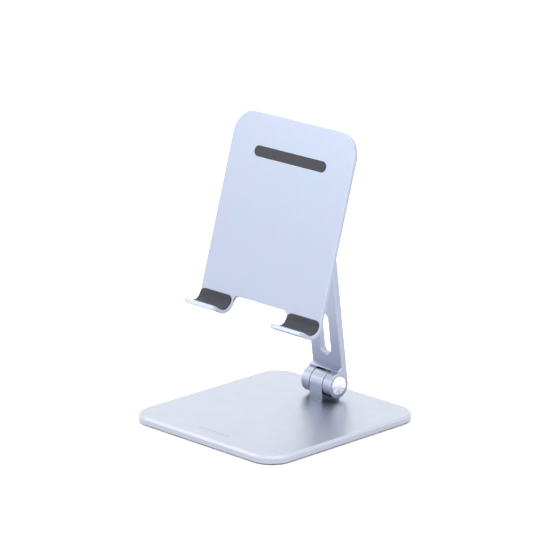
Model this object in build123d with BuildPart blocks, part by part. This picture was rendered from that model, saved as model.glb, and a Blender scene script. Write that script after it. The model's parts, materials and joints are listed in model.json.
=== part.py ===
"""Folding tablet stand: base plate, slotted arm and hooked tray, joined by two friction hinges.

Millimetres, +X right, +Y to the back, +Z up. The origin is on the desk, under the centre of the base
plate. The stand is symmetric about X = 0. Both hinge axles lie along X.
"""
import os
from math import cos, radians, sin

from build123d import *

# Base plate
base_width = 145.0
base_depth = 150.0
base_thick = 5.5
base_corner_r = 18.0
base_bevel = 1.4
base_under_bevel = 0.5

# Feet
foot_r = 9.0
foot_thick = 2.0
foot_proud = 0.8
foot_inset = 21.0
foot_bevel = 0.3

# Where the stand stands: position of the lower axle, lean of the arm, tilt of the tray
lower_axle_y = 50.05
arm_lean = 7.43
arm_span = 169.1
tray_tilt = 16.55

# Hinges: the same knuckle, ears and hardware at both ends of the arm
barrel_r = 9.45
axle_height = 11.05
knuckle_width = 12.4
ear_outer = 14.7
washer_thick = 0.5
washer_r = 8.4
side_play = 0.025
axle_r = 2.5
running_clearance = 0.04
bush_r = 4.5
press_clearance = 0.02
ear_web = 2.2
pocket_r = 6.2
rim_r = 7.2
rim_depth = 1.5
barrel_bevel = 0.45

# Arm
arm_thick = 5.5
arm_bevel = 0.5
notch_reach = 10.8
shoulder_rise = 12.15
slot_width = 10.0
slot_start = 20.0
slot_length = 32.5
slot_bevel = 0.5

# Tray
tray_width = 120.0
tray_thick = 3.0
tray_above_axle = 27.1
tray_corner_r = 18.0
tray_bevel = 0.5
hook_inner_x = 27.0
cutout_drop = 130.6
cutout_corner_r = 5.0
hook_drop = 144.5
hook_bend_r = 7.0
hook_curl = 14.0
hook_reach = 16.0
hook_corner_r = 3.5

# Rubber
strip_length = 70.0
strip_height = 8.0
strip_thick = 1.2
strip_recess = 0.5
pad_thick = 0.8
pad_inset = 0.8
pad_top_drop = 131.0
pad_corner_r = 4.5
pad_reach = 9.8
glue_gap = 0.02
rubber_bevel = 0.3

# Countersunk screws that hold the knuckles
base_screw_r = 2.0
base_screw_head_r = 3.8
base_screw_pitch = 10.0
base_screw_length = 9.5
tray_screw_r = 1.5
tray_screw_head_r = 2.75
tray_screw_pitch = 6.4
tray_screw_length = 6.5
screw_cone_angle = 90.0
screw_socket_ratio = 0.45
screw_socket_depth = 1.2
thread_depth = 4.8
thread_clearance = 0.05

# Axle hardware
bolt_head_r = 4.4
bolt_head_h = 2.8
socket_r = 1.7
spring_r = 5.2
spring_thick = 0.4
spring_cone = 0.35
nut_flats = 8.0
nut_thick = 2.7
nut_play = 0.02
cap_r = 6.9
cap_thick = 1.6
cap_proud = 0.2
cap_bevel = 0.3
cap_skirt_r = 6.0
cap_skirt_wall = 0.8
cap_skirt_h = 1.0

# Places that follow from the dimensions above
base_top = foot_proud + base_thick
ear_inner = knuckle_width / 2 + washer_thick + 2 * side_play
pocket_floor = ear_inner + ear_web
spring_stack = 2 * (spring_thick + spring_cone) + nut_play
nut_start = pocket_floor + spring_stack + 2 * nut_play
bend_sweep = 90 + hook_curl
curl = radians(hook_curl)
lip_length = (hook_reach - hook_bend_r - (hook_bend_r + tray_thick) * sin(curl)) / cos(curl)
tray_top = tray_above_axle
bend_centre = (-hook_bend_r, tray_top - hook_drop + hook_bend_r + tray_thick)
lean = radians(arm_lean)
tilt = radians(tray_tilt)
lower_axle = Vector(0, lower_axle_y, base_top + axle_height)
upper_axle = lower_axle + Vector(0, -sin(lean), cos(lean)) * arm_span
tray_normal = Vector(0, -cos(tilt), sin(tilt))
tray_front = upper_axle + tray_normal * (axle_height + tray_thick)

# Two directions count as parallel above this cosine, two places as one within this distance
parallel = 0.99
touching = 0.01

# Side planes look along +X; the tray's face plane looks out of its front
base_side = Plane(origin=lower_axle, x_dir=(0, 1, 0), z_dir=(1, 0, 0))
arm_side = Plane(origin=lower_axle, x_dir=(0, cos(lean), sin(lean)), z_dir=(1, 0, 0))
tray_side = Plane(origin=tray_front, x_dir=-tray_normal, z_dir=(1, 0, 0))
tray_face = Plane(origin=tray_front, x_dir=(1, 0, 0), z_dir=tray_normal)
tray_up = tray_face.y_dir
lip_normal = tray_up * cos(curl) - tray_normal * sin(curl)
below_hooks = tray_front + tray_up * (tray_top - hook_drop - tray_thick)
hook_plan = Plane(origin=below_hooks, x_dir=(1, 0, 0), z_dir=tray_up)
tray_knuckle_side = Plane(origin=upper_axle, x_dir=(0, -sin(tilt), -cos(tilt)), z_dir=(1, 0, 0))
arm_up = arm_side.y_dir
arm_rear = arm_side.x_dir

# Screw planes look out of the face the screws go in from; foot planes look out of a knuckle's foot
base_underside = Plane(origin=(0, lower_axle_y, foot_proud), x_dir=(0, 1, 0), z_dir=(0, 0, -1))
base_foot_plane = base_underside.offset(-base_thick)
tray_recess_floor = tray_face.offset(-strip_recess)
tray_foot_plane = tray_face.offset(-tray_thick)


def save(piece, label):
    """Name a finished piece and write its STEP file."""
    piece.label = label
    export_step(piece, f"parts/{label}.step")


def runs_along(direction):
    """Filter for edges parallel to a direction."""
    return lambda edge: abs(edge.tangent_at(0.5).dot(direction)) > parallel


def faces_along(direction):
    """Filter for faces square to a direction."""
    return lambda face: abs(face.normal_at().dot(direction)) > parallel


def is_on(plane, point):
    """Whether a point lies in a plane."""
    return abs(plane.to_local_coords(point).Z) < touching


def hinge_side(axle):
    """Plane across an axle, looking along +X, with its origin in the middle of the hinge."""
    return Plane(origin=axle, x_dir=(0, 1, 0), z_dir=(1, 0, 0))


def make_base_plate():
    foot_x = base_width / 2 - foot_inset
    foot_y = base_depth / 2 - foot_inset
    with BuildPart() as plate:
        with BuildSketch(Plane.XY.offset(foot_proud)):
            RectangleRounded(base_width, base_depth, base_corner_r)
        extrude(amount=base_thick)
        chamfer(plate.faces().sort_by(Axis.Z)[-1].edges(), base_bevel)
        chamfer(plate.faces().sort_by(Axis.Z)[0].edges(), base_under_bevel)
        with BuildSketch(Plane.XY.offset(foot_proud)):
            with GridLocations(2 * foot_x, 2 * foot_y, 2, 2):
                Circle(foot_r + running_clearance)
        extrude(amount=foot_thick - foot_proud, mode=Mode.SUBTRACT)
        with Locations(base_underside):
            with GridLocations(base_screw_pitch, 0, 2, 1):
                CounterSinkHole(
                    base_screw_r + thread_clearance,
                    base_screw_head_r + thread_clearance,
                    depth=base_thick,
                    counter_sink_angle=screw_cone_angle,
                )
    save(plate.part, "base_plate")


def make_feet():
    foot_x = base_width / 2 - foot_inset
    foot_y = base_depth / 2 - foot_inset
    for side, x in (("left", -foot_x), ("right", foot_x)):
        for end, y in (("front", -foot_y), ("rear", foot_y)):
            with BuildPart() as foot:
                with BuildSketch(Plane.XY):
                    with Locations((x, y)):
                        Circle(foot_r)
                extrude(amount=foot_thick)
                chamfer(foot.faces().sort_by(Axis.Z)[0].edges(), foot_bevel)
            save(foot.part, f"foot_{end}_{side}")


def make_knuckle(label, side, foot, pitch, screw_r):
    """Centre knuckle of a hinge: a barrel on a straight-sided post, bored for its bush."""
    with BuildPart() as knuckle:
        with BuildSketch(side):
            Circle(barrel_r)
            with Locations((0, -axle_height / 2)):
                Rectangle(2 * barrel_r, axle_height)
        extrude(amount=knuckle_width / 2, both=True)
        rims = knuckle.faces().filter_by(Axis.X).edges().filter_by(lambda e: not is_on(foot, e.center()))
        chamfer(rims, barrel_bevel)
        with BuildSketch(side):
            Circle(bush_r + press_clearance)
        extrude(amount=knuckle_width, both=True, mode=Mode.SUBTRACT)
        with BuildSketch(foot):
            with GridLocations(pitch, 0, 2, 1):
                Circle(screw_r + thread_clearance)
        extrude(amount=-thread_depth, mode=Mode.SUBTRACT)
    save(knuckle.part, label)


def make_bush(label, axle):
    with BuildPart() as bush:
        with BuildSketch(hinge_side(axle)):
            Circle(bush_r)
            Circle(axle_r + running_clearance, mode=Mode.SUBTRACT)
        extrude(amount=knuckle_width / 2, both=True)
    save(bush.part, label)


def make_screws(label, head_face, pitch, screw_r, head_r, length):
    """Two countersunk socket screws, heads flush with the face they go in from."""
    with BuildPart() as screws:
        with Locations(head_face):
            with GridLocations(pitch, 0, 2, 1):
                Cylinder(screw_r, length, align=(Align.CENTER, Align.CENTER, Align.MAX))
                Cone(screw_r, head_r, head_r - screw_r, align=(Align.CENTER, Align.CENTER, Align.MAX))
        with BuildSketch(head_face):
            with GridLocations(pitch, 0, 2, 1):
                RegularPolygon(head_r * screw_socket_ratio, 6)
        extrude(amount=-screw_socket_depth, mode=Mode.SUBTRACT)
    save(screws.part, label)


def ear_inner_rims(edges):
    """Outer edges of the ears' inner faces, without the corners where they meet the ends of the notches."""
    notch_ends = (notch_reach, arm_span - notch_reach)
    rims = edges.filter_by(lambda e: abs(abs(e.center().X) - ear_inner) < touching)
    heights = {edge: arm_side.to_local_coords(edge.center()).Y for edge in rims}
    return [edge for edge in rims if all(abs(heights[edge] - end) > touching for end in notch_ends)]


def make_arm():
    """Slotted plate, tangent to the backs of two pairs of ears."""
    plate_front = barrel_r - arm_thick
    slot_plane = Plane(
        origin=lower_axle + arm_up * (slot_start + slot_length / 2),
        x_dir=arm_up,
        z_dir=-arm_rear,
    )
    with BuildPart() as arm:
        with BuildSketch(arm_side):
            with BuildLine():
                Polyline(
                    (barrel_r, 0),
                    (barrel_r, arm_span),
                    (0, arm_span),
                    (0, arm_span - notch_reach),
                    (plate_front, arm_span - shoulder_rise),
                    (plate_front, shoulder_rise),
                    (0, notch_reach),
                    (0, 0),
                    close=True,
                )
            make_face()
            with Locations((0, 0), (0, arm_span)):
                Circle(barrel_r)
        extrude(amount=ear_outer, both=True)
        chamfer(arm.faces().filter_by(Axis.X).edges(), arm_bevel)
        with BuildSketch(slot_plane):
            SlotOverall(slot_length, slot_width)
        extrude(amount=2 * barrel_r, both=True, mode=Mode.SUBTRACT)
        through = runs_along(arm_rear)
        chamfer(arm.edges(Select.LAST).filter_by(lambda e: not through(e)), slot_bevel)
        with BuildSketch(arm_side):
            with Locations((0, 0), (0, arm_span)):
                Rectangle(4 * barrel_r, 2 * notch_reach)
        extrude(amount=ear_inner, both=True, mode=Mode.SUBTRACT)
        chamfer(ear_inner_rims(arm.edges(Select.LAST)), barrel_bevel)
        with BuildSketch(arm_side):
            with Locations((0, 0), (0, arm_span)):
                Circle(axle_r + running_clearance)
        extrude(amount=ear_outer, both=True, mode=Mode.SUBTRACT)
        for side in (-1, 1):
            with BuildSketch(arm_side.offset(side * pocket_floor)):
                with Locations((0, 0), (0, arm_span)):
                    Circle(pocket_r)
            extrude(amount=side * ear_outer, mode=Mode.SUBTRACT)
            with BuildSketch(arm_side.offset(side * (ear_outer - rim_depth))):
                with Locations((0, 0), (0, arm_span)):
                    Circle(rim_r)
            extrude(amount=side * ear_outer, mode=Mode.SUBTRACT)
    save(arm.part, "arm")


def make_axle_bolt(label, axle):
    """Hinge bolt: head in the left ear's pocket, threaded end in the right ear's pocket."""
    shank_end = nut_start + nut_thick
    with BuildPart() as bolt:
        with BuildSketch(hinge_side(axle).offset(-pocket_floor)):
            Circle(axle_r)
        extrude(amount=pocket_floor + shank_end)
        with BuildSketch(hinge_side(axle).offset(-pocket_floor)):
            Circle(bolt_head_r)
        extrude(amount=-bolt_head_h)
        with BuildSketch(hinge_side(axle).offset(-pocket_floor - bolt_head_h)):
            RegularPolygon(socket_r, 6)
        extrude(amount=bolt_head_h / 2, mode=Mode.SUBTRACT)
    save(bolt.part, label)


def make_friction_washers(label, axle):
    with BuildPart() as washers:
        for side in (-1, 1):
            with BuildSketch(hinge_side(axle).offset(side * (knuckle_width / 2 + side_play))):
                Circle(washer_r)
                Circle(axle_r + thread_clearance, mode=Mode.SUBTRACT)
            extrude(amount=side * washer_thick)
    save(washers.part, label)


def make_disc_springs(label, axle):
    """Two cone-shaped spring washers, back to back, between the right ear and the nut."""
    section = Plane(origin=axle, x_dir=(1, 0, 0), z_dir=(0, -1, 0))
    bore = axle_r + thread_clearance
    first = pocket_floor + nut_play
    last = first + spring_stack
    with BuildPart() as springs:
        for inner_x, step in ((first, 1), (last, -1)):
            with BuildSketch(section):
                Polygon(
                    (inner_x, bore),
                    (inner_x + step * spring_thick, bore),
                    (inner_x + step * (spring_thick + spring_cone), spring_r),
                    (inner_x + step * spring_cone, spring_r),
                    align=None,
                )
            revolve(axis=Axis(axle, (1, 0, 0)))
    save(springs.part, label)


def make_lock_nut(label, axle):
    with BuildPart() as nut:
        with BuildSketch(hinge_side(axle).offset(nut_start)):
            RegularPolygon(nut_flats / 2, 6, major_radius=False)
            Circle(axle_r + nut_play, mode=Mode.SUBTRACT)
        extrude(amount=nut_thick)
    save(nut.part, label)


def make_cap(label, axle, side):
    """End disc of the hinge barrel with a short skirt that plugs into the ear's pocket."""
    seat = ear_outer + cap_proud - cap_thick
    with BuildPart() as cap:
        with BuildSketch(hinge_side(axle).offset(side * seat)):
            Circle(cap_r)
        extrude(amount=side * cap_thick)
        outer_face = cap.faces().filter_by(Axis.X).sort_by(Axis.X)[-1 if side > 0 else 0]
        chamfer(outer_face.edges(), cap_bevel)
        with BuildSketch(hinge_side(axle).offset(side * seat)):
            Circle(cap_skirt_r)
            Circle(cap_skirt_r - cap_skirt_wall, mode=Mode.SUBTRACT)
        extrude(amount=-side * cap_skirt_h)
    save(cap.part, label)


def make_hinge_hardware(end, axle):
    make_axle_bolt(f"{end}_hinge_bolt", axle)
    make_friction_washers(f"{end}_friction_washers", axle)
    make_disc_springs(f"{end}_disc_springs", axle)
    make_lock_nut(f"{end}_lock_nut", axle)
    make_cap(f"{end}_cap_left", axle, -1)
    make_cap(f"{end}_cap_right", axle, 1)


def hook_middles():
    """Middle of each hook across the tray, left then right."""
    middle = (hook_inner_x + tray_width / 2) / 2
    return (-middle, middle)


def rim_edges(faces):
    """Edges where the front and back skins of the bent plate end."""
    skins = faces.filter_by(faces_along(tray_normal)) + faces.filter_by(faces_along(lip_normal))
    cylinders = faces.filter_by(GeomType.CYLINDER)
    bends = cylinders.filter_by(lambda f: abs(f.axis_of_rotation.direction.X) > parallel)
    edges = (skins + bends).edges()
    return [edge for edge in edges if sum(edge.is_same(other) for other in edges) == 1]


def make_tray():
    """Thin plate, bent forward at the bottom into two open hooks."""
    with BuildPart() as tray:
        with BuildSketch(tray_side):
            with BuildLine():
                outer_bend = CenterArc(bend_centre, hook_bend_r + tray_thick, 0, -bend_sweep)
                inner_bend = CenterArc(bend_centre, hook_bend_r, 0, -bend_sweep)
                lip = (outer_bend % 1) * lip_length
                Polyline(inner_bend @ 1, inner_bend @ 1 + lip, outer_bend @ 1 + lip, outer_bend @ 1)
                Polyline(outer_bend @ 0, (tray_thick, tray_top), (0, tray_top), inner_bend @ 0)
            make_face()
        extrude(amount=tray_width / 2, both=True)
        through = tray.edges().filter_by(runs_along(tray_normal))
        fillet(through.group_by(Axis(tray_front, tray_up))[-1], tray_corner_r)
        with BuildSketch(tray_face):
            with Locations((0, tray_top - cutout_drop - hook_reach)):
                RectangleRounded(2 * hook_inner_x, 2 * hook_reach, cutout_corner_r)
        extrude(amount=2 * hook_reach, both=True, mode=Mode.SUBTRACT)
        lip_ends = tray.edges().filter_by(runs_along(lip_normal))
        fillet(lip_ends.group_by(Axis(tray_front, tray_normal))[-1], hook_corner_r)
        chamfer(rim_edges(tray.faces()), tray_bevel)
        with BuildSketch(tray_face):
            SlotOverall(strip_length + 2 * glue_gap, strip_height + 2 * glue_gap)
        extrude(amount=-strip_recess, mode=Mode.SUBTRACT)
        with Locations(tray_recess_floor):
            with GridLocations(tray_screw_pitch, 0, 2, 1):
                CounterSinkHole(
                    tray_screw_r + thread_clearance,
                    tray_screw_head_r + thread_clearance,
                    depth=tray_thick,
                    counter_sink_angle=screw_cone_angle,
                )
    save(tray.part, "tray")


def make_tray_strip():
    with BuildPart() as strip:
        with BuildSketch(tray_recess_floor):
            SlotOverall(strip_length, strip_height)
        extrude(amount=strip_thick)
        chamfer(strip.faces().sort_by(Axis(tray_front, tray_normal))[-1].edges(), rubber_bevel)
    save(strip.part, "tray_strip")


def make_hook_pads():
    """Rubber linings that follow the inside of each hook, with rounded corners."""
    outer_r = hook_bend_r - glue_gap
    inner_r = outer_r - pad_thick
    pad_top = tray_top - pad_top_drop
    pad_width = tray_width / 2 - hook_inner_x - 2 * pad_inset
    for side, middle in zip(("left", "right"), hook_middles()):
        with BuildPart() as pad:
            with BuildSketch(tray_side):
                with BuildLine():
                    outer_bend = CenterArc(bend_centre, outer_r, 0, -bend_sweep)
                    inner_bend = CenterArc(bend_centre, inner_r, 0, -bend_sweep)
                    lip = (outer_bend % 1) * lip_length
                    Polyline(inner_bend @ 1, inner_bend @ 1 + lip, outer_bend @ 1 + lip, outer_bend @ 1)
                    Polyline(
                        outer_bend @ 0,
                        (-glue_gap, pad_top),
                        (-glue_gap - pad_thick, pad_top),
                        inner_bend @ 0,
                    )
                make_face()
            extrude(amount=tray_width / 2, both=True)
            with BuildSketch(tray_face):
                with Locations((middle, pad_top - hook_reach)):
                    RectangleRounded(pad_width, 2 * hook_reach, pad_corner_r)
            extrude(amount=2 * hook_reach, mode=Mode.INTERSECT)
            with BuildSketch(hook_plan):
                with Locations((middle, hook_reach - pad_reach)):
                    RectangleRounded(pad_width, 2 * hook_reach, pad_corner_r)
            extrude(amount=3 * hook_reach, mode=Mode.INTERSECT)
        save(pad.part, f"hook_pad_{side}")


os.makedirs("parts", exist_ok=True)
make_base_plate()
make_feet()
make_knuckle("base_knuckle", base_side, base_foot_plane, base_screw_pitch, base_screw_r)
make_bush("base_knuckle_bush", lower_axle)
make_screws(
    "base_knuckle_screws",
    base_underside,
    base_screw_pitch,
    base_screw_r,
    base_screw_head_r,
    base_screw_length,
)
make_arm()
make_hinge_hardware("lower", lower_axle)
make_hinge_hardware("upper", upper_axle)
make_knuckle("tray_knuckle", tray_knuckle_side, tray_foot_plane, tray_screw_pitch, tray_screw_r)
make_bush("tray_knuckle_bush", upper_axle)
make_screws(
    "tray_knuckle_screws",
    tray_recess_floor,
    tray_screw_pitch,
    tray_screw_r,
    tray_screw_head_r,
    tray_screw_length,
)
make_tray()
make_tray_strip()
make_hook_pads()
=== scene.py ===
"""Looks of the folding tablet stand: materials, rubber parts, floor, light and camera."""

import json
import math

import bpy
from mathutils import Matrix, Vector


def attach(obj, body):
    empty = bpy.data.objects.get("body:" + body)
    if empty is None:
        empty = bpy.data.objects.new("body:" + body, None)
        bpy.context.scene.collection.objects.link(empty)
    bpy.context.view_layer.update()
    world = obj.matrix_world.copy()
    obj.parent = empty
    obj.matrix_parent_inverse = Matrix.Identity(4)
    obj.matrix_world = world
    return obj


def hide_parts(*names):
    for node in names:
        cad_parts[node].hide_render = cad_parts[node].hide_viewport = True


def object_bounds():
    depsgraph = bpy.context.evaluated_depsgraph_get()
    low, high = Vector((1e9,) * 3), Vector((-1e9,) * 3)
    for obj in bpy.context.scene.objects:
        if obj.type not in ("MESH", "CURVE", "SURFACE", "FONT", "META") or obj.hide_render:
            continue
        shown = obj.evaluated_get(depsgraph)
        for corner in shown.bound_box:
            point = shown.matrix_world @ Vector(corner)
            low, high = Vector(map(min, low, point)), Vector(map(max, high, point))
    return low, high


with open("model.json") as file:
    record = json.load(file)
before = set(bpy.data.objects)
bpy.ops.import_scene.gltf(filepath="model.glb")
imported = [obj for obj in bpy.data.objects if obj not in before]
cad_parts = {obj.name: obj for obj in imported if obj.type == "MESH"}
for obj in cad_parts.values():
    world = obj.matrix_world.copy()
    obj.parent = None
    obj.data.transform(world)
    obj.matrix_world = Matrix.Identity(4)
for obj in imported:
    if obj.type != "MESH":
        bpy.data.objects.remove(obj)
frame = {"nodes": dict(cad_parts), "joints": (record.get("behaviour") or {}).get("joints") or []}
cad_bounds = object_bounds()
nodes = frame["nodes"]
joints = {j["name"]: Vector(j["pos_m"]) for j in frame["joints"]}

MM = 0.001
lowest, highest = [Vector(corner) for corner in cad_bounds]
middle = (lowest + highest) / 2

# Camera, aimed at the middle of the stand; lengths in metres, lens in millimetres
CAMERA_AZIMUTH = math.radians(45.3)
CAMERA_ELEVATION = math.radians(16.5)
CAMERA_DISTANCE = 2.554
CAMERA_LENS = 238.2
CAMERA_REACH = 50

# Anodised aluminium; each finish drifts between a cool and a warm tint. Colours are linear.
TRAY_TINTS = ((0.298, 0.342, 0.425), (0.312, 0.336, 0.422))
ARM_TINTS = ((0.295, 0.332, 0.425), (0.312, 0.332, 0.422))
# The base's tints are lighter and less blue than the arm's and tray's: painted reflection of brighter,
# warmer light on the same anodised metal
BASE_TINTS_WITH_PAINTED_REFLECTION = ((0.362, 0.386, 0.452), (0.370, 0.384, 0.450))
TINT_PATCH = 38 * MM
BLAST_GRAIN = 0.32 * MM
BLAST_DEPTH = 0.02 * MM
SMEAR = 9 * MM
SATIN = (0.33, 0.39)
# Brighter edges, partly wear and partly a painted highlight on the bevels: width, colour and strength
EDGE_WEAR_AND_HIGHLIGHT_RADIUS = 0.45 * MM
EDGE_WEAR_AND_HIGHLIGHT_COLOUR = (0.72, 0.75, 0.82)
EDGE_WEAR_AND_HIGHLIGHT_STRENGTH = 0.8
# Painted shade in the narrow gaps of the hinge parts: how far it looks, its colour and its strength
GAP_SHADE_REACH = 20 * MM
PAINTED_GAP_SHADE_COLOUR = (0.05, 0.065, 0.10)
PAINTED_GAP_SHADE_STRENGTH = 0.8

# Etched mark on the base
MARK_FROM_EDGE = 14 * MM
MARK_LENGTH = 31 * MM
MARK_HEIGHT = 2.6 * MM
MARK_BARS = 7
MARK_GAP = -0.6  # a bar is where a wave from -1 to 1 lies above this
MARK_STRENGTH = 0.4
MARK_SHADE = 0.55  # of the metal's own colour

# Other metals
BRONZE = (0.55, 0.36, 0.17)
ZINC = (0.56, 0.57, 0.60)
# Painted sheen on the spun caps: dark and light radial spokes of painted reflection
PAINTED_SHEEN_DARK = (0.40, 0.41, 0.46)
PAINTED_SHEEN_LIGHT = (0.88, 0.89, 0.93)
SPUN_RING = (0.80, 0.81, 0.85)
RING_WIDTH = 0.11 * MM
RING_DEPTH = 0.006 * MM
PAINTED_SHEEN_SPOKE_WIDTH = 0.42  # on a circle of radius 1

# Rubber and plastic
PAD = (0.015, 0.017, 0.024)
FOOT = (0.16, 0.165, 0.175)
WASHER = (0.30, 0.32, 0.37)
RUBBER_GRAIN = 0.5 * MM
RUBBER_GRAIN_DEPTH = 0.03 * MM
RUBBER_DUST = 6 * MM
RUBBER_EDGE = 0.35 * MM
RUBBER_FACET = 0.3 * MM
RUBBER_SOFTENING = 0.5
RUBBER_SOFTENING_PASSES = 4
RUBBER_SKIN_DEPTH = 0.06 * MM
RUBBER_SKIN = bpy.data.textures.new("rubber_skin", "CLOUDS")
RUBBER_SKIN.noise_scale = 1.6 * MM

# The white room: what reflections and light get from each side, and what the camera sees
FRONT_WALL = (1.95, 1.95, 1.95)
BACK_WALL = (1.66, 1.67, 1.68)
CEILING = (1.85, 1.85, 1.85)
WALL_TURN = 0.7  # one wall fades into the other between directions with y = -0.7 and 0.7
BACKDROP = (1.1, 1.1, 1.1)
FLOOR_SIZE = 12
FLOOR_COLOURS = ((0.84, 0.84, 0.85), (0.88, 0.88, 0.88))
FLOOR_SPECKLE = 30 * MM


# ---------------------------------------------------------------- node helpers
class Tree:
    """Short names for building a material's node tree."""

    def __init__(self, name):
        self.material = bpy.data.materials.new(name)
        self.material.use_nodes = True
        self.nodes = self.material.node_tree.nodes
        self.links = self.material.node_tree.links
        self.bsdf = self.nodes["Principled BSDF"]
        self.place = self.add("ShaderNodeNewGeometry").outputs["Position"]

    def add(self, kind, inputs=None, **settings):
        node = self.nodes.new(kind)
        for key, value in settings.items():
            setattr(node, key, value)
        for key, value in (inputs or {}).items():
            self.feed(node.inputs[key], value)
        return node

    def feed(self, socket, value):
        if isinstance(value, bpy.types.NodeSocket):
            self.links.new(value, socket)
        else:
            socket.default_value = value

    def noise(self, size, detail=3.0, roughness=0.5, vector=None):
        """Noise whose blobs are about `size` metres across; most of it lies from 0.3 to 0.7."""
        inputs = {"Vector": vector or self.place, "Scale": 1 / size}
        inputs |= {"Detail": detail, "Roughness": roughness}
        return self.add("ShaderNodeTexNoise", inputs).outputs["Fac"]

    def math(self, operation, a, b=0.0):
        node = self.add("ShaderNodeMath", operation=operation)
        self.feed(node.inputs[0], a)
        self.feed(node.inputs[1], b)
        return node.outputs[0]

    def vector(self, operation, a, b=None, output="Vector"):
        inputs = {0: a} if b is None else {0: a, 1: b}
        return self.add("ShaderNodeVectorMath", inputs, operation=operation).outputs[output]

    def spread(self, value, low=0.3, high=0.7, to_low=0.0, to_high=1.0):
        """Stretches low..high over to_low..to_high and stops at both ends."""
        inputs = {"Value": value, "From Min": low, "From Max": high, "To Min": to_low, "To Max": to_high}
        return self.add("ShaderNodeMapRange", inputs).outputs[0]

    def mix(self, factor, a, b):
        node = self.add("ShaderNodeMix", data_type="RGBA")
        self.feed(node.inputs[0], factor)
        self.feed(node.inputs[6], a if isinstance(a, bpy.types.NodeSocket) else (*a, 1))
        self.feed(node.inputs[7], b if isinstance(b, bpy.types.NodeSocket) else (*b, 1))
        return node.outputs[2]

    def bump(self, height, depth):
        """Bump of `depth` metres from a 0 to 1 height."""
        inputs = {"Height": height, "Distance": depth, "Strength": 1.0}
        return self.add("ShaderNodeBump", inputs).outputs["Normal"]

    def edge(self, radius, low=0.02, high=0.25):
        """0 on flat areas, 1 on edges, from how far a rounded normal leaves the true one."""
        rounded = self.add("ShaderNodeBevel", {"Radius": radius}, samples=6).outputs["Normal"]
        true = self.add("ShaderNodeNewGeometry").outputs["True Normal"]
        likeness = self.vector("DOT_PRODUCT", rounded, true, output="Value")
        return self.spread(self.math("SUBTRACT", 1.0, likeness), low, high)

    def gap_shade_mask(self, reach):
        """Mask for painted shade: 0 in the open, 1 deep in gaps and corners that others crowd within
        `reach` metres.
        """
        openness = self.add("ShaderNodeAmbientOcclusion", {"Distance": reach}, samples=8).outputs["AO"]
        return self.spread(openness, 0.1, 0.75, 1.0, 0.0)

    def set(self, **inputs):
        for key, value in inputs.items():
            self.feed(self.bsdf.inputs[key.replace("_", " ")], value)


# ---------------------------------------------------------------- soft pieces
def moulded(node_name, name, body, material):
    """Moulded rubber in the place of a CAD solid: softened edges and a fine uneven skin."""
    mesh = nodes[node_name].data.copy()
    mesh.name = name
    mesh.materials.clear()
    mesh.materials.append(material)
    piece = bpy.data.objects.new(name, mesh)
    bpy.context.scene.collection.objects.link(piece)
    skin = piece.modifiers.new("skin", "REMESH")
    skin.mode = "VOXEL"
    skin.voxel_size = RUBBER_FACET
    skin.use_smooth_shade = True
    soften = piece.modifiers.new("soften", "SMOOTH")
    soften.factor = RUBBER_SOFTENING
    soften.iterations = RUBBER_SOFTENING_PASSES
    uneven = piece.modifiers.new("uneven", "DISPLACE")
    uneven.texture = RUBBER_SKIN
    uneven.texture_coords = "GLOBAL"
    uneven.strength = RUBBER_SKIN_DEPTH
    uneven.mid_level = 0.5
    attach(piece, body)
    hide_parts(node_name)


# ---------------------------------------------------------------- materials
def times(colour, factor):
    return [min(1, channel * factor) for channel in colour]


def anodised(name, tints, marked=False, painted_gap_shade=False):
    """Bead-blasted, anodised aluminium: even silver blue, fine grain, brighter edges partly from wear
    and partly a painted highlight.
    A part with painted gap shade is darker in its narrow gaps: painted shade where shade falls."""
    t = Tree(name)
    colour = t.mix(t.spread(t.noise(TINT_PATCH, detail=2.0), low=0.35, high=0.65), *tints)
    edge = t.edge(EDGE_WEAR_AND_HIGHLIGHT_RADIUS, low=0.01, high=0.12)
    grain = t.noise(BLAST_GRAIN, detail=4.0, roughness=0.65)
    smear = t.noise(SMEAR, detail=4.0, roughness=0.6)
    # Brighter edges: partly wear, partly a painted highlight where the bevels catch light
    colour = t.mix(t.math("MULTIPLY", edge, EDGE_WEAR_AND_HIGHLIGHT_STRENGTH), colour, EDGE_WEAR_AND_HIGHLIGHT_COLOUR)
    # Painted shade: the colour darkens in narrow gaps and corners, where shade falls
    if painted_gap_shade:
        gap_shade_amount = t.math("MULTIPLY", t.gap_shade_mask(GAP_SHADE_REACH), PAINTED_GAP_SHADE_STRENGTH)
        colour = t.mix(gap_shade_amount, colour, PAINTED_GAP_SHADE_COLOUR)
    fine_roughness = t.spread(grain, to_low=-0.03, to_high=0.03)
    rough = t.math("ADD", t.spread(smear, to_low=SATIN[0], to_high=SATIN[1]), fine_roughness)
    if marked:
        etching = t.math("MULTIPLY", maker_mark(t), MARK_STRENGTH)
        colour = t.mix(etching, colour, times(tints[0], MARK_SHADE))
    t.set(Base_Color=colour, Metallic=1.0, Roughness=rough, Normal=t.bump(grain, BLAST_DEPTH))
    return t.material


def maker_mark(t):
    """A plain row of short bars, lightly etched near the front edge of the base, where makers sign."""
    x, y, _ = t.add("ShaderNodeSeparateXYZ", {0: t.place}).outputs
    from_middle_x = t.math("ABSOLUTE", x)
    from_middle_y = t.math("ABSOLUTE", t.math("SUBTRACT", y, lowest.y + MARK_FROM_EDGE))
    in_row = t.math("LESS_THAN", from_middle_x, MARK_LENGTH / 2)
    in_height = t.math("LESS_THAN", from_middle_y, MARK_HEIGHT / 2)
    wave = t.math("SINE", t.math("MULTIPLY", x, math.tau * MARK_BARS / MARK_LENGTH))
    bars = t.math("GREATER_THAN", wave, MARK_GAP)
    return t.math("MULTIPLY", t.math("MULTIPLY", in_row, in_height), bars)


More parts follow.
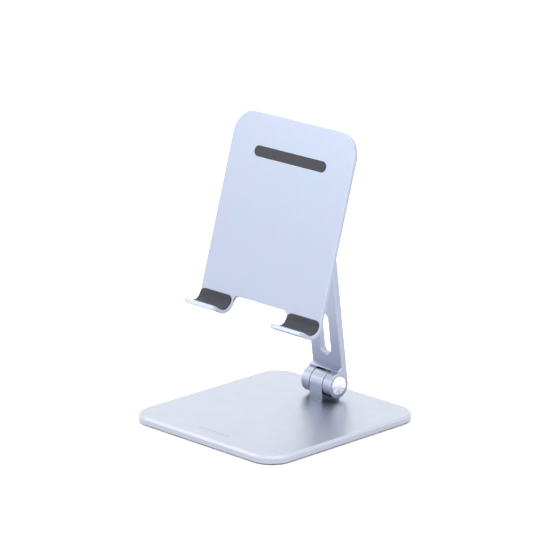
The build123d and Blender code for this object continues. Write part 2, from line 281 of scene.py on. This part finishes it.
def plain_metal(name, colour, roughness, grain_size, depth):
    """Plated or sintered metal: grain in colour, gloss and relief, and lighter edges."""
    t = Tree(name)
    grain = t.noise(grain_size, detail=5.0, roughness=0.6)
    shade = t.mix(t.spread(grain), times(colour, 0.9), colour)
    shade = t.mix(t.math("MULTIPLY", t.edge(0.3 * MM), 0.5), shade, times(colour, 1.35))
    rough = t.spread(grain, to_low=roughness - 0.06, to_high=roughness + 0.06)
    t.set(Base_Color=shade, Metallic=1.0, Roughness=rough, Normal=t.bump(grain, depth))
    return t.material


def spun_metal(name, centre):
    """Bright turned disc: fine rings about the axle, streaked by painted sheen: light and dark radial
    spokes of painted reflection in its colour.
    """
    t = Tree(name)
    offset = t.vector("SUBTRACT", t.place, tuple(centre))
    across = t.vector("MULTIPLY", offset, (0, 1, 1))
    radius = t.vector("LENGTH", across, output="Value")
    tangent = t.vector("NORMALIZE", t.vector("CROSS_PRODUCT", (1, 0, 0), across))
    ring_inputs = {"W": t.math("MULTIPLY", radius, 1 / RING_WIDTH), "Detail": 2.0}
    rings = t.add("ShaderNodeTexNoise", ring_inputs, noise_dimensions="1D").outputs["Fac"]
    outward = t.vector("NORMALIZE", across)
    # Painted sheen: radial spokes of painted highlight and shade in the cap's colour
    sheen_spokes = t.spread(t.noise(PAINTED_SHEEN_SPOKE_WIDTH, detail=1.0, vector=outward), low=0.42, high=0.58)
    painted_sheen = t.mix(sheen_spokes, PAINTED_SHEEN_DARK, PAINTED_SHEEN_LIGHT)
    t.set(
        Base_Color=t.mix(t.spread(rings), painted_sheen, SPUN_RING),
        Metallic=1.0,
        Roughness=t.spread(rings, to_low=0.2, to_high=0.3),
        Anisotropic=0.85,
        Tangent=tangent,
        Normal=t.bump(rings, RING_DEPTH),
    )
    return t.material


def rubber(name, colour):
    """Matt rubber or plastic: fine moulded grain, dusty patches and slightly polished edges."""
    t = Tree(name)
    grain = t.noise(RUBBER_GRAIN, detail=4.0, roughness=0.6)
    dust = t.noise(RUBBER_DUST, detail=4.0, roughness=0.6)
    shade = t.mix(t.spread(dust, low=0.35), colour, times(colour, 1.35))
    shade = t.mix(t.math("MULTIPLY", t.edge(RUBBER_EDGE), 0.4), shade, times(colour, 1.7))
    t.set(
        Base_Color=shade,
        Roughness=t.spread(dust, to_low=0.62, to_high=0.78),
        Specular_IOR_Level=0.4,
        Sheen_Weight=0.1,
        Normal=t.bump(grain, RUBBER_GRAIN_DEPTH),
    )
    return t.material


def dress(material, *names):
    for name in names:
        nodes[name].data.materials.clear()
        nodes[name].data.materials.append(material)


def dress_metal_plates():
    dress(anodised("anodised_tray", TRAY_TINTS), "tray")
    # The arm and its knuckles get painted shade in their narrow gaps
    dress(anodised("anodised_arm", ARM_TINTS, painted_gap_shade=True), "arm", "base_knuckle", "tray_knuckle")
    # The base's lighter tints carry a painted reflection
    dress(anodised("anodised_base", BASE_TINTS_WITH_PAINTED_REFLECTION, marked=True), "base_plate")


def make_rubber_parts():
    pad_rubber = rubber("pad_rubber", PAD)
    foot_silicone = rubber("foot_silicone", FOOT)
    moulded("tray_strip", "strip_rubber", "tray", pad_rubber)
    for side in ("left", "right"):
        moulded(f"hook_pad_{side}", f"hook_rubber_{side}", "tray", pad_rubber)
        for end in ("front", "rear"):
            foot = f"foot_{end}_{side}"
            moulded(foot, f"{foot}_silicone", "base", foot_silicone)


def dress_hinges():
    bronze = plain_metal("bronze", BRONZE, roughness=0.42, grain_size=0.4 * MM, depth=0.02 * MM)
    dress(bronze, "base_knuckle_bush", "tray_knuckle_bush")
    steel = plain_metal("zinc_steel", ZINC, roughness=0.32, grain_size=0.6 * MM, depth=0.01 * MM)
    dress(steel, "base_knuckle_screws", "tray_knuckle_screws")
    washer = rubber("washer_plastic", WASHER)
    for end, hinge in (("lower", "base_hinge"), ("upper", "tray_hinge")):
        dress(steel, f"{end}_hinge_bolt", f"{end}_disc_springs", f"{end}_lock_nut")
        dress(washer, f"{end}_friction_washers")
        dress(spun_metal(f"spun_{end}", joints[hinge]), f"{end}_cap_left", f"{end}_cap_right")


# ---------------------------------------------------------------- stage
def make_floor():
    bpy.ops.mesh.primitive_plane_add(size=FLOOR_SIZE, location=(0, 0, lowest.z))
    floor = bpy.context.object
    floor.name = "floor"
    t = Tree("pale_floor")
    speckle = t.noise(FLOOR_SPECKLE)
    t.set(Base_Color=t.mix(speckle, *FLOOR_COLOURS), Roughness=0.9, Specular_IOR_Level=0.1)
    floor.data.materials.append(t.material)


def make_world():
    """White room: soft bright walls and ceiling for reflections, plain white to the camera."""
    world = bpy.data.worlds.new("studio")
    world.use_nodes = True
    bpy.context.scene.world = world
    tree = world.node_tree
    background = tree.nodes["Background"]
    coordinates = tree.nodes.new("ShaderNodeTexCoord")
    split = tree.nodes.new("ShaderNodeSeparateXYZ")
    tree.links.new(coordinates.outputs["Generated"], split.inputs[0])

    def blend(factor, first, second):
        node = tree.nodes.new("ShaderNodeMix")
        node.data_type = "RGBA"
        tree.links.new(factor, node.inputs[0])
        for socket, colour in ((node.inputs[6], first), (node.inputs[7], second)):
            if isinstance(colour, bpy.types.NodeSocket):
                tree.links.new(colour, socket)
            else:
                socket.default_value = (*colour, 1)
        return node.outputs[2]

    backwards = tree.nodes.new("ShaderNodeMapRange")
    backwards.inputs["From Min"].default_value = -WALL_TURN
    backwards.inputs["From Max"].default_value = WALL_TURN
    tree.links.new(split.outputs["Y"], backwards.inputs["Value"])
    walls = blend(backwards.outputs[0], FRONT_WALL, BACK_WALL)
    room = blend(split.outputs["Z"], walls, CEILING)
    path = tree.nodes.new("ShaderNodeLightPath")
    seen = blend(path.outputs["Is Camera Ray"], room, BACKDROP)
    tree.links.new(seen, background.inputs[0])


def soft_light(name, place, size, power):
    """Rectangular light aimed at the middle of the stand; metres and watts."""
    light = bpy.data.lights.new(name, "AREA")
    light.shape = "RECTANGLE"
    light.size, light.size_y = size
    light.energy = power
    lamp = bpy.data.objects.new(name, light)
    lamp.location = place
    lamp.rotation_euler = (middle - Vector(place)).to_track_quat("-Z", "Y").to_euler()
    bpy.context.scene.collection.objects.link(lamp)


def make_camera():
    camera = bpy.data.cameras.new("camera")
    camera.lens = CAMERA_LENS
    camera.clip_end = CAMERA_REACH
    view = bpy.data.objects.new("camera", camera)
    level = math.cos(CAMERA_ELEVATION)
    back = Vector(
        (
            math.sin(CAMERA_AZIMUTH) * level,
            -math.cos(CAMERA_AZIMUTH) * level,
            math.sin(CAMERA_ELEVATION),
        )
    )
    view.location = middle + back * CAMERA_DISTANCE
    view.rotation_euler = (-back).to_track_quat("-Z", "Y").to_euler()
    bpy.context.scene.collection.objects.link(view)
    bpy.context.scene.camera = view


dress_metal_plates()
make_rubber_parts()
dress_hinges()
make_floor()
make_world()
soft_light("ceiling", place=(0.1, 0.1, 1.4), size=(1.4, 1.4), power=4)
soft_light("key", place=(-0.5, -0.6, 0.55), size=(0.5, 0.3), power=0.9)
soft_light("rim", place=(-0.75, 0.2, 0.85), size=(0.3, 0.3), power=0.3)
make_camera()
bpy.context.scene.view_settings.view_transform = "Standard"
